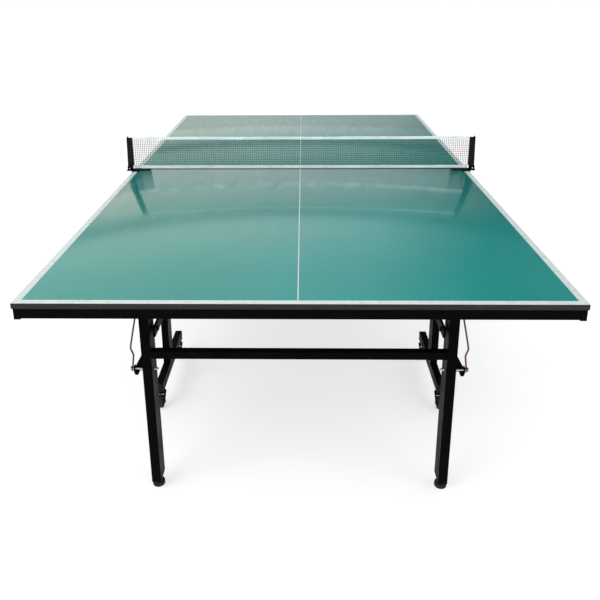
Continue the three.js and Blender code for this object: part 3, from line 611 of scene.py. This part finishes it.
def make_net(cord_material, tape_material):
    low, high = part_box("net_cloth")
    tape_low, tape_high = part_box("net_top_tape")
    middle_y = (low.y + high.y) / 2
    half = high.x - 0.0008
    bottom = low.z + 0.006
    top = tape_low.z + 0.002
    bm = bmesh.new()
    columns = int(2 * half / CORD_PITCH)
    rows = int((top - bottom) / CORD_PITCH)
    wander = random.Random(5)
    for column in range(columns + 1):
        x = -half + 0.001 + column * (2 * half - 0.002) / columns
        slip = wander.uniform(-0.0004, 0.0004)
        points = []
        for step in range(2 * rows + 1):
            z = bottom + step * (top - bottom) / (2 * rows)
            over = CORD_CROSSING if (step // 2 + column) % 2 else -CORD_CROSSING
            lowered = sag(x, half) * step / (2 * rows)
            points.append((x + slip * math.sin(z * 90), middle_y + ripple(x, z) + over,
                           z - lowered))
        add_tube(bm, points, CORD_RADIUS, sides=4)
    for row in range(rows + 1):
        z = bottom + row * (top - bottom) / rows
        points = []
        for column in range(columns + 1):
            x = -half + 0.001 + column * (2 * half - 0.002) / columns
            over = -CORD_CROSSING if (row + column) % 2 else CORD_CROSSING
            lowered = sag(x, half) * row / rows
            drift = 0.0003 * math.sin(x * 40 + row * 2.1)
            points.append((x, middle_y + ripple(x, z) + over, z - lowered + drift))
        add_tube(bm, points, CORD_RADIUS, sides=4)
    net = finished("net_mesh", bm, cord_material, "net")
    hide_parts("net_cloth")

    def tape(name, z_fold, z_lips, thick, lowered):
        """A white band folded in two round the whole net, from its fold to its two lips."""
        made = bmesh.new()
        steps = 160
        up = 1 if z_fold > z_lips else -1
        outline = []
        for radius in (thick / 2, thick / 2 - TAPE_CLOTH):
            layer = [(-radius, z_lips), (-radius - 0.0001, z_lips + up * 0.001),
                     (-radius, (z_lips + z_fold) / 2)]
            for index in range(9):
                turn = math.pi * index / 8
                layer.append((-radius * math.cos(turn),
                              z_fold - up * thick / 2 + up * radius * math.sin(turn)))
            layer += [(radius, (z_lips + z_fold) / 2), (radius + 0.0001, z_lips + up * 0.001),
                      (radius, z_lips)]
            outline += layer if not outline else layer[::-1]
        rings = []
        for step in range(steps + 1):
            x = -half + 2 * half * step / steps
            down = sag(x, half) if lowered else 0.0
            pucker = 0.00025 * math.sin(x * 130.0) * math.sin(x * 31.0)
            rings.append([
                made.verts.new((x, middle_y + ripple(x, z_lips) + across, z - down + pucker))
                for across, z in outline])
        for before, after in zip(rings, rings[1:]):
            for index in range(len(outline)):
                following = (index + 1) % len(outline)
                made.faces.new((before[index], after[index], after[following],
                                before[following]))
        made.faces.new(rings[0])
        made.faces.new(rings[-1][::-1])
        bmesh.ops.recalc_face_normals(made, faces=made.faces[:])
        return finished(name, made, tape_material, "net", smooth_below=60)

    top_tape = tape("net_tape_top", tape_high.z, tape_low.z, TOP_TAPE_THICK, True)
    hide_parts("net_top_tape")
    foot_fold = low.z + 0.0015
    foot_tape = tape("net_tape_foot", foot_fold, foot_fold + POCKET, FOOT_TAPE_THICK, False)

    stitches = bmesh.new()
    for level, lowered, thick in ((tape_low.z + 0.0022, True, TOP_TAPE_THICK),
                                  (low.z + POCKET - 0.001, False, FOOT_TAPE_THICK)):
        for side in SIDES:
            count = int(2 * half / STITCH_PITCH)
            for index in range(count):
                x = -half + 0.002 + index * STITCH_PITCH
                down = sag(x, half) if lowered else 0.0
                y = middle_y + ripple(x, level) + side * (thick / 2 + 0.00012)
                add_tube(stitches, [(x, y, level - down), (x + STITCH_LENGTH, y, level - down)],
                         STITCH_RADIUS, sides=4)
    thread = finished("net_stitching", stitches, tape_material, "net")

    return net


POST_LEAN = 0.0035


def make_post(hand, plastic):
    """A post with its outer flange leaning in towards the top, a cap and a foot."""
    low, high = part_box(f"net_post_{hand}")
    side = -1 if hand == "left" else 1
    inner, outer = (high.x, low.x) if hand == "left" else (low.x, high.x)
    middle_y = -0.002
    bm = bmesh.new()
    flange = outer - side * 0.0075
    outline = [
        (inner, low.z + 0.0145), (inner, high.z - 0.0095), (flange - side * POST_LEAN, high.z - 0.0070),
        (flange, low.z + 0.0145)]
    add_plate(bm, outline, 1, middle_y - 0.0052, middle_y + 0.0052, bevel=0.0010)
    edge = [
        (flange, low.z + 0.0040), (flange - side * POST_LEAN, high.z - 0.0062),
        (flange + side * (0.0034 - POST_LEAN), high.z - 0.0003),
        (outer - side * POST_LEAN, high.z - 0.0062),
        (outer, low.z + 0.0040), (flange + side * 0.0034, low.z + 0.0002)]
    add_plate(bm, edge, 1, middle_y - 0.0045, middle_y + 0.0058, bevel=0.0012)
    post = finished(f"net_post_profile_{hand}", bm, plastic, "net")
    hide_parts(f"net_post_{hand}")

    cap = bmesh.new()
    cap_inner, cap_outer = sorted((inner + side * 0.0004, inner + side * 0.0190))
    add_block(cap, (cap_inner, middle_y - 0.0058, high.z - 0.012),
              (cap_outer, middle_y + 0.0058, high.z - 0.0066), bevel=0.0020, segments=3)
    finished(f"net_post_cap_{hand}", cap, plastic, "net")

    foot = bmesh.new()
    foot_low, foot_high = sorted((inner + side * 0.0065, inner + side * 0.0185))
    add_block(foot, (foot_low, middle_y - 0.0059, low.z), (foot_high, middle_y + 0.0059, low.z + 0.016),
              bevel=0.0016, segments=3)
    finished(f"net_post_foot_{hand}", foot, plastic, "net")


def make_clamp_screw(hand, zinc, plastic):
    """A lobed knob on a threaded stem that ends in a round pad."""
    low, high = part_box(f"clamp_screw_{hand}")
    centre = (low + high) / 2
    body = f"clamp_screw_{hand}"
    grip = bmesh.new()
    lobes, steps = 12, 72
    levels = [(0.62, 0.0), (0.93, 0.0012), (1.0, 0.0030), (1.0, 0.0125), (0.93, 0.0148), (0.45, 0.016)]
    rings = []
    for share, along in levels:
        ring = []
        for step in range(steps):
            angle = math.tau * step / steps
            radius = 0.0139 * share * (1 - 0.045 * (1 - math.cos(lobes * angle)))
            ring.append(grip.verts.new((centre.x + radius * math.cos(angle),
                                        centre.y + radius * math.sin(angle), low.z + along)))
        rings.append(ring)
    for before, after in zip(rings, rings[1:]):
        for step in range(steps):
            following = (step + 1) % steps
            grip.faces.new((before[step], before[following], after[following], after[step]))
    grip.faces.new(rings[0][::-1])
    grip.faces.new(rings[-1])
    knob = finished(f"clamp_knob_{hand}", grip, plastic, body)
    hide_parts(f"clamp_screw_{hand}")
    stem = bmesh.new()
    outline = [(0, 0.0155), (0.0038, 0.0155)]
    for index in range(19):
        along = 0.0165 + index * 0.0012
        outline.append((0.0040, along))
        outline.append((0.0035, along + 0.0006))
    outline += [(0.0036, 0.0392), (0.0088, 0.0394), (0.0090, 0.0400), (0.0090, 0.0438),
                (0.0084, 0.0445), (0, 0.0445)]
    add_turned(stem, outline, (centre.x, centre.y, low.z), (0, 0, 1), 28)
    finished(f"clamp_thread_{hand}", stem, zinc, body)


# ------------------------------------------------------------------ casters and feet
TRAIL = 0.014
CHEEK_ROUND = 0.0085
CHEEK_HALF_DEPTH = 0.0165
CHEEK_WAIST = 0.046
CHEEK_TOP = 0.0600


def make_wheel(end, place, tread_material, hub_material):
    node = f"{end}_wheel_{place}"
    centre = middle(node)
    half = 0.0099
    tread = bmesh.new()
    add_turned(tread, [
        (0.0182, -half + 0.0012), (0.0205, -half + 0.0002), (0.0228, -half + 0.0006),
        (0.0243, -half + 0.0022), (0.0249, -half + 0.0048), (0.0250, -0.0030), (0.0250, 0.0030),
        (0.0249, half - 0.0048), (0.0243, half - 0.0022), (0.0228, half - 0.0006),
        (0.0205, half - 0.0002), (0.0182, half - 0.0012), (0.0180, half - 0.003),
        (0.0180, -half + 0.003), (0.0182, -half + 0.0012)], centre, (1, 0, 0), 48)
    for face in [face for face in tread.faces if len(face.verts) > 4]:
        tread.faces.remove(face)
    bmesh.ops.remove_doubles(tread, verts=tread.verts[:], dist=1e-6)
    bmesh.ops.recalc_face_normals(tread, faces=tread.faces[:])
    wheel = finished(f"{node}_tread", tread, tread_material, node)
    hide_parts(node)
    hub = bmesh.new()
    add_turned(hub, [
        (0, -0.0108), (0.0058, -0.0108), (0.0066, -0.0100), (0.0068, -0.0062), (0.0082, -0.0052),
        (0.0150, -0.0052), (0.0163, -0.0064), (0.0165, -0.0086), (0.0180, -0.0088),
        (0.0181, 0.0), (0.0180, 0.0088), (0.0165, 0.0086), (0.0163, 0.0064), (0.0150, 0.0052),
        (0.0082, 0.0052), (0.0068, 0.0062), (0.0066, 0.0100), (0.0058, 0.0108), (0, 0.0108)],
        centre, (1, 0, 0), 48)
    for side in SIDES:
        for spoke in range(6):
            angle = math.tau * spoke / 6
            start = Vector((side * 0.0052, 0.0062 * math.cos(angle), 0.0062 * math.sin(angle)))
            stop = Vector((side * 0.0052, 0.0165 * math.cos(angle), 0.0165 * math.sin(angle)))
            add_tube(hub, [centre + start, centre + stop], 0.0013, sides=8)
    finished(f"{node}_hub", hub, hub_material, node)


def make_fork(end, place, steel, zinc):
    """The caster's swivel: a pressed dome, a ball race, two cheeks and the axle with its nut."""
    node = f"{end}_caster_fork_{place}"
    axle = middle(f"{end}_wheel_{place}")
    back = -1 if end == "near" else 1
    swivel = Vector((axle.x, axle.y - back * TRAIL, 0))
    bm = bmesh.new()
    for side in SIDES:
        outline = []
        for step in range(13):
            angle = math.pi + math.pi * step / 12
            outline.append((axle.y + CHEEK_ROUND * math.cos(angle),
                            axle.z + CHEEK_ROUND * math.sin(angle)))
        front = swivel.y + CHEEK_HALF_DEPTH
        rear = swivel.y - CHEEK_HALF_DEPTH
        outline += [(front if back < 0 else max(front, axle.y + CHEEK_ROUND), CHEEK_WAIST),
                    (front, CHEEK_TOP), (rear, CHEEK_TOP),
                    (rear if back > 0 else min(rear, axle.y - CHEEK_ROUND), CHEEK_WAIST)]
        inner, outer = sorted((axle.x + side * 0.0117, axle.x + side * 0.0143))
        add_plate(bm, outline, 0, inner, outer, bevel=0.0005)
    add_turned(bm, [
        (0, 0.0580), (0.0180, 0.0580), (0.0188, 0.0588), (0.0188, 0.0610), (0.0176, 0.0624),
        (0.0150, 0.0630), (0.0144, 0.0650), (0.0125, 0.0660), (0.0110, 0.0664), (0.0108, 0.0708),
        (0.0065, 0.0710), (0, 0.0710)], (swivel.x, swivel.y, 0), (0, 0, 1), 36)
    fork = finished(f"{node}_housing", bm, steel, node)
    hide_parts(node)
    bolts = bmesh.new()
    add_turned(bolts, [(0, -0.0175), (0.0040, -0.0175), (0.0052, -0.0166), (0.0052, -0.0145),
                       (0.0030, -0.0144), (0.0030, 0.0144), (0.0034, 0.0145), (0, 0.0145)],
               axle, (1, 0, 0), 24)
    outline = [(axle.y + y, axle.z + z) for y, z in hexagon(0.0056)]
    add_plate(bolts, outline, 0, axle.x + 0.0145, axle.x + 0.0182, bevel=0.0004)
    add_turned(bolts, [(0, 0.0632), (0.0136, 0.0634), (0.0136, 0.0646), (0.0132, 0.0656), (0, 0.0656)],
               (swivel.x, swivel.y, 0), (0, 0, 1), 32)
    finished(f"{node}_axle", bolts, zinc, node)


def make_foot(end, hand, rubber, zinc):
    """A rubber pad with a nut and a threaded stem that goes up into the leg."""
    node = f"{end}_leg_foot_{hand}"
    low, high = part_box(node)
    centre = (low + high) / 2
    base = (centre.x, centre.y, 0)
    pad = bmesh.new()
    add_turned(pad, [
        (0, 0), (0.0178, 0), (0.0192, 0.0010), (0.0199, 0.0030), (0.0199, 0.0058),
        (0.0192, 0.0066), (0.0199, 0.0074), (0.0199, 0.0110), (0.0190, 0.0136), (0.0165, 0.0150),
        (0.0105, 0.0156), (0.0096, 0.0164), (0.0092, 0.0190), (0, 0.0190)], base, (0, 0, 1), 48)
    piece = finished(f"{node}_pad", pad, rubber, node)
    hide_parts(node)
    stud = bmesh.new()
    outline = [(x + base[0], y + base[1]) for x, y in hexagon(0.0088)]
    add_plate(stud, outline, 2, 0.0190, 0.0250, bevel=0.0006)
    profile = [(0, 0.0250), (0.0047, 0.0250)]
    for index in range(30):
        along = 0.0256 + index * 0.0015
        profile.append((0.0050, along))
        profile.append((0.0045, along + 0.00075))
    profile += [(0.0044, 0.0706), (0.0038, 0.0716), (0, 0.0718)]
    add_turned(stud, profile, base, (0, 0, 1), 24)
    finished(f"{node}_stud", stud, zinc, node)


# ------------------------------------------------------------------ locks, wires and fasteners
LEG_Y = 1.157
EYE_X, EYE_Z = 0.4900, 0.6845
RING_X, RING_Z = 0.5135, 0.4320


def make_lock_pin(end, hand, zinc):
    node = f"{end}_lock_pin_{hand}"
    low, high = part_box(node)
    centre = (low + high) / 2
    side = 1 if centre.x > 0 else -1
    tip = low.x if side > 0 else -high.x
    tail = high.x if side > 0 else -low.x
    bm = bmesh.new()
    profile = [(0, tip), (0.0026, tip), (0.0040, tip + 0.0024), (0.0040, tail - 0.0108),
               (0.0064, tail - 0.0106), (0.0070, tail - 0.0098), (0.0070, tail - 0.0086),
               (0.0040, tail - 0.0082), (0.0040, tail - 0.0042), (0.0070, tail - 0.0040),
               (0.0070, tail - 0.0008), (0.0062, tail), (0, tail)]
    add_turned(bm, profile, (0, centre.y, centre.z), (side, 0, 0), 24)
    piece = finished(f"{node}_rod", bm, zinc, node)
    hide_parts(node)


def make_wire(end, hand, paint):
    """A red wire bent from one rod: top eye, slack middle, and a flat ring round the pin."""
    node = f"{end}_release_wire_{hand}"
    side = 1 if middle(node).x > 0 else -1
    y = -LEG_Y if end == "near" else LEG_Y
    bm = bmesh.new()
    route = [(0.4898, 0.6785), (0.4903, 0.6450), (0.4935, 0.6110), (0.5060, 0.5510),
             (0.5148, 0.5070), (0.5125, 0.4935), (0.5085, 0.4800), (0.5105, 0.4600),
             (0.5133, 0.4400)]
    add_tube(bm, smooth_path([(side * x, y, z) for x, z in route]), 0.0028, sides=12)
    eye = []
    ring = []
    for step in range(36):
        angle = math.tau * step / 36
        eye.append((side * EYE_X, y + 0.0042 * math.cos(angle), EYE_Z + 0.0042 * math.sin(angle)))
        ring.append((side * RING_X, y + 0.0073 * math.cos(angle), RING_Z + 0.0073 * math.sin(angle)))
    add_tube(bm, eye, 0.0019, sides=10, closed=True)
    add_tube(bm, ring, 0.0014, sides=10, closed=True)
    piece = finished(f"{node}_rod", bm, paint, node)
    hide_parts(node)


def pan_head(bm, at, axis, radius=0.0048, height=0.0024):
    """A screw's round head, with the recess for the driver."""
    add_turned(bm, [(radius, 0), (radius, height * 0.35), (radius * 0.86, height * 0.78),
                    (radius * 0.52, height), (radius * 0.42, height * 0.62), (0, height * 0.55)],
               at, axis, 20)


FRAME_UNDERSIDE = 0.7136


def make_fasteners(end, steel):
    """Screw heads on the apron and under the side tubes of the frame."""
    facing = -1 if end == "near" else 1
    frame_low, frame_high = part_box(f"{end}_top_frame")
    outer_y = frame_low.y if end == "near" else frame_high.y
    bm = bmesh.new()
    for x in (-0.378, 0.378):
        pan_head(bm, (x, outer_y, 0.7312), (0, facing, 0))
    for x in (-0.742, 0.742):
        for y in (0.16, 0.47, 0.78, 1.08):
            pan_head(bm, (x, facing * y, FRAME_UNDERSIDE), (0, 0, -1), 0.004, 0.002)
    finished(f"{end}_frame_screws", bm, steel, f"{end}_top")


RAIL_HALF_WIDTH = 0.014
RAIL_LOW, RAIL_HIGH = 0.072, 0.110
PLUG_LIP = 0.0018


def make_plugs(end, plastic):
    """Black end plugs in the open ends of the base rails."""
    for hand in ("left", "right"):
        low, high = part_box(f"{end}_base_side_{hand}")
        x = middle(f"{end}_wheel_{hand}_outer").x
        bm = bmesh.new()
        for y, facing in ((low.y, -1), (high.y, 1)):
            y0, y1 = sorted((y, y + facing * PLUG_LIP))
            add_block(bm, (x - RAIL_HALF_WIDTH + 0.001, y0, RAIL_LOW + 0.001),
                      (x + RAIL_HALF_WIDTH - 0.001, y1, RAIL_HIGH - 0.001), bevel=0.0007)
        finished(f"{end}_rail_plugs_{hand}", bm, plastic, f"{end}_base")


# ------------------------------------------------------------------ putting it together
add_camera()
add_world()
add_floor(floor_material())
add_area_light("key", (-3.2, -3.4, 4.2), (3.4, 3.4), 130)
add_area_light("fill", (3.6, -3.4, 2.8), (3.0, 3.0), 40)

lacquer = lacquer_green()
line_paint = painted_line()
underside = board_underside()
band = gloss_band()
steel = powder_coat()
zinc = zinc_plate()
red = crimson_wire()
rubber = moulded("rubber_black", (0.010, 0.010, 0.010), (0.028, 0.027, 0.026), (0.62, 0.85), 700.0)
tread = moulded("wheel_tread", (0.012, 0.012, 0.013), (0.035, 0.034, 0.033), (0.55, 0.8), 500.0)
plastic = moulded("plastic_black", (0.003, 0.003, 0.0035), (0.007, 0.007, 0.007), (0.35, 0.55), 900.0)
net_cord = woven("net_cord", (0.006, 0.014, 0.006), (0.018, 0.032, 0.016), 900.0, 0.1)
tape_cloth = woven("tape_cloth", (0.56, 0.64, 0.68), (0.80, 0.88, 0.90), 420.0, 0.3)

for end in ENDS:
    make_board(end, lacquer, underside)
    make_lines(end, line_paint)
    dress(f"{end}_edge_band", band, bevel=0.0004)
    for part in ("top_frame", "leg_left", "leg_right", "leg_crossbar", "link_left", "link_right",
                 "base_side_left", "base_side_right", "base_cross_tube"):
        dress(f"{end}_{part}", steel)
    dress(f"{end}_leg_shaft", zinc, bevel=0.0006)
    for hand in ("left", "right"):
        make_foot(end, hand, rubber, zinc)
        make_lock_pin(end, hand, zinc)
        make_wire(end, hand, red)
        for place in ("outer", "inner"):
            make_wheel(end, f"{hand}_{place}", tread, plastic)
            make_fork(end, f"{hand}_{place}", steel, zinc)
    make_fasteners(end, steel)
    make_plugs(end, plastic)

make_net(net_cord, tape_cloth)
for hand in ("left", "right"):
    make_post(hand, plastic)
    dress(f"net_clamp_{hand}", steel, bevel=0.0008)
    make_clamp_screw(hand, zinc, plastic)

bpy.context.scene.view_settings.view_transform = "Standard"
